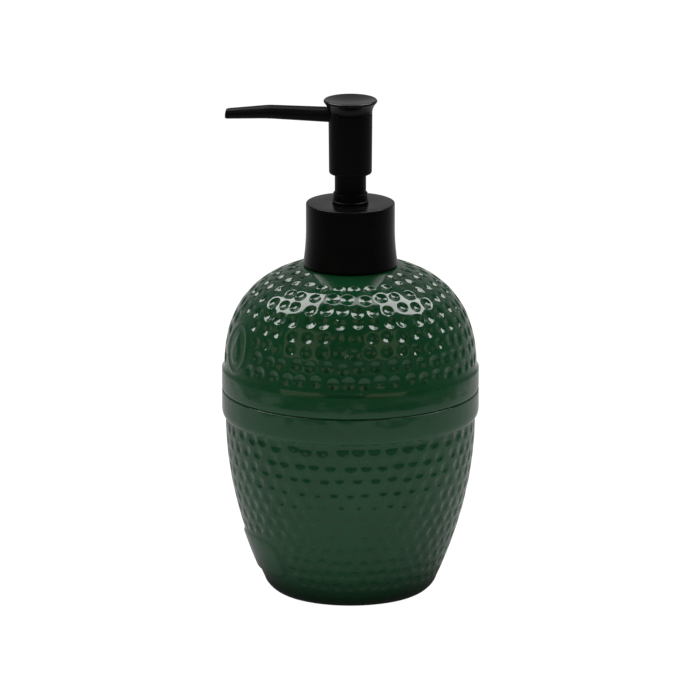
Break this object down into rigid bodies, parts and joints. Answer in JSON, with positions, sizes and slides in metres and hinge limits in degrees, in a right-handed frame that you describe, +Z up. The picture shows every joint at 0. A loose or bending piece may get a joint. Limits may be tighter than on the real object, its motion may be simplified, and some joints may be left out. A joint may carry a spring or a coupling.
{
  "type": "soap pump dispenser",
  "caption": "Glazed ceramic soap bottle with a dimpled body, two raised bands and a screw-on plastic lotion pump with a swivelling spout.",
  "frame": {"origin": "centre of the bottle's foot, on the surface that it stands on", "axes": "+Z up along the bottle's axis; the bottle's front, with its plain oval medallion, faces -Y; at rest the spout points 35 degrees from -Y towards -X"},
  "size_m": [0.0968, 0.0968, 0.1891],
  "materials": {
    "green_glaze": "deep green glossy glaze over white stoneware",
    "black_plastic": "satin black moulded plastic",
    "neck_plastic": "plain white moulded plastic",
    "natural_plastic": "uncoloured, slightly cloudy moulded plastic",
    "spring_steel": "bright drawn spring wire",
    "ball_steel": "polished steel ball",
    "seal_foam": "soft white closed-cell foam"
  },
  "bodies": {
    "bottle": {"bottle": "green_glaze", "neck_insert": "neck_plastic"},
    "pump_body": {"pump_housing": "natural_plastic", "chaplet": "black_plastic", "gasket": "seal_foam", "dip_tube": "natural_plastic", "ball_cage": "natural_plastic", "return_spring": "spring_steel"},
    "collar": {"collar_shell": "black_plastic", "collar_cap": "black_plastic"},
    "plunger": {"piston_rod": "natural_plastic", "rod_seat": "natural_plastic"},
    "piston": {"piston": "natural_plastic"},
    "head": {"head_barrel": "black_plastic", "head_core": "black_plastic", "head_cap": "black_plastic", "spout": "black_plastic"},
    "inlet_ball": {"inlet_ball": "ball_steel"}
  },
  "joints": [
    {"name": "pump_rise", "type": "slide", "parent": "bottle", "child": "pump_body", "axis": [0, 0, 1], "range_m": [0, 0.00634]},
    {"name": "collar_turn", "type": "hinge", "parent": "pump_body", "child": "collar", "pos_m": [0, 0, 0.137], "axis": [0, 0, 1], "range_deg": [0, 540]},
    {"name": "plunger_press", "type": "slide", "parent": "pump_body", "child": "plunger", "axis": [0, 0, -1], "range_m": [0, 0.0068], "stiffness_N_per_m": 300, "springref_m": -0.01, "deforming": ["return_spring"]},
    {"name": "head_turn", "type": "hinge", "parent": "plunger", "child": "head", "pos_m": [0, 0, 0.17], "axis": [0, 0, 1], "continuous": true},
    {"name": "piston_slip", "type": "slide", "parent": "plunger", "child": "piston", "axis": [0, 0, 1], "range_m": [0, 0.0012]},
    {"name": "ball_lift", "type": "slide", "parent": "pump_body", "child": "inlet_ball", "axis": [0, 0, 1], "range_m": [0, 0.0015]}
  ],
  "couplings": [
    {"joint": "collar_turn", "follows": "pump_rise", "rad_per_m": 1485.4}
  ]
}
